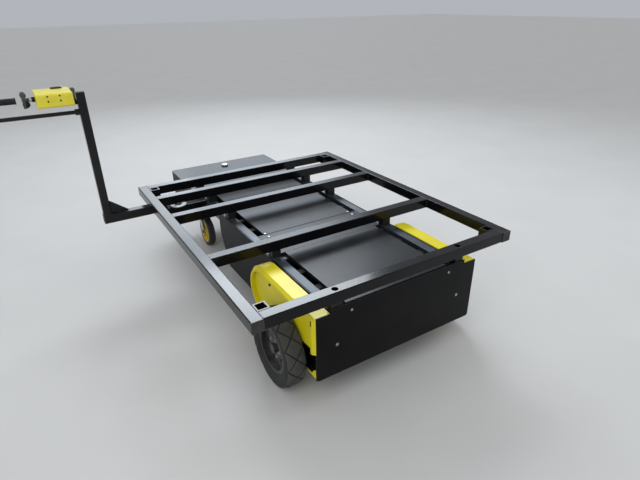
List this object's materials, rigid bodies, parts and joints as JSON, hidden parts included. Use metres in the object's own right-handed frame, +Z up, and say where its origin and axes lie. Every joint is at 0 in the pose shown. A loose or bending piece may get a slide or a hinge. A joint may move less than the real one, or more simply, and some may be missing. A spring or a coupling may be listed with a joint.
{
  "type": "electric cart pusher",
  "caption": "Low walk-beside electric cart pusher: a chassis on two driven tyres and two swivel wheels under a flat tube frame, with a tall side handle and control head.",
  "frame": {"origin": "on the floor, at the bottom centre of the box round the whole machine with its handle", "axes": "+Z up; -Y towards the drive end with the wide plate; +Y towards the swivel wheels; +X across, away from the handle"},
  "size_m": [2.0686, 2.0604, 1.1556],
  "materials": {
    "frame_paint": "satin black paint on welded square tube",
    "steel_dark": "black paint",
    "rail_steel": "pale rolled steel",
    "sheet_grey": "grey coated sheet",
    "body_black": "black coated sheet",
    "guard_yellow": "yellow coated sheet",
    "zinc": "zinc plated",
    "cast_grey": "painted casting",
    "battery_case": "moulded plastic",
    "tyre": "rubber",
    "rim_paint": "black paint",
    "caster_yellow": "moulded nylon",
    "caster_rubber": "rubber",
    "plug_black": "moulded plastic",
    "post_black": "satin black paint",
    "grip_rubber": "rubber",
    "control_yellow": "yellow coated case",
    "paddle_grey": "moulded plastic",
    "lens_black": "moulded plastic"
  },
  "bodies": {
    "chassis": {"platform_sides": "frame_paint", "platform_crosses": "frame_paint", "tube_plugs": "plug_black", "corner_sockets": "frame_paint", "frame_pads": "steel_dark", "chassis_rails": "rail_steel", "chassis_crossbeams": "steel_dark", "slot_clips": "zinc", "deck_cover_front": "sheet_grey", "deck_strip": "sheet_grey", "deck_cover_rear": "sheet_grey", "side_plates": "body_black", "belly_pan": "body_black", "end_plate": "body_black", "drive_guards": "guard_yellow", "guard_spacers": "zinc", "axle_bearings": "cast_grey", "gearmotors": "cast_grey", "batteries": "battery_case", "rear_box": "body_black", "rear_box_cover": "sheet_grey", "caster_plates": "zinc", "handle_outrigger": "post_black", "joint_plates": "post_black", "outrigger_cap": "zinc", "handle_arm": "post_black", "handle_post": "post_black", "handle_gusset": "post_black", "handle_loop": "post_black", "hand_grip": "grip_rubber", "control_box": "control_yellow", "control_bracket": "steel_dark", "throttle_paddles": "paddle_grey", "gauge_lens": "lens_black"},
    "drive_wheel_left": {"tyre_left": "tyre", "rim_left": "rim_paint"},
    "caster_swivel_left": {"caster_fork_left": "zinc"},
    "caster_wheel_left": {"caster_hub_left": "caster_yellow", "caster_tread_left": "caster_rubber"},
    "drive_wheel_right": {"tyre_right": "tyre", "rim_right": "rim_paint"},
    "caster_swivel_right": {"caster_fork_right": "zinc"},
    "caster_wheel_right": {"caster_hub_right": "caster_yellow", "caster_tread_right": "caster_rubber"}
  },
  "joints": [
    {"name": "drive_wheel_spin_left", "type": "hinge", "parent": "chassis", "child": "drive_wheel_left", "pos_m": [-0.08575, -0.77775, 0.1775], "axis": [-1, 0, 0], "continuous": true},
    {"name": "caster_swivel_turn_left", "type": "hinge", "parent": "chassis", "child": "caster_swivel_left", "pos_m": [0.12025, 0.73225, 0.23], "axis": [0, 0, 1], "continuous": true},
    {"name": "caster_wheel_spin_left", "type": "hinge", "parent": "caster_swivel_left", "child": "caster_wheel_left", "pos_m": [0.12025, 0.67725, 0.1], "axis": [-1, 0, 0], "continuous": true},
    {"name": "drive_wheel_spin_right", "type": "hinge", "parent": "chassis", "child": "drive_wheel_right", "pos_m": [0.85625, -0.77775, 0.1775], "axis": [-1, 0, 0], "continuous": true},
    {"name": "caster_swivel_turn_right", "type": "hinge", "parent": "chassis", "child": "caster_swivel_right", "pos_m": [0.65025, 0.73225, 0.23], "axis": [0, 0, 1], "continuous": true},
    {"name": "caster_wheel_spin_right", "type": "hinge", "parent": "caster_swivel_right", "child": "caster_wheel_right", "pos_m": [0.65025, 0.67725, 0.1], "axis": [-1, 0, 0], "continuous": true}
  ]
}
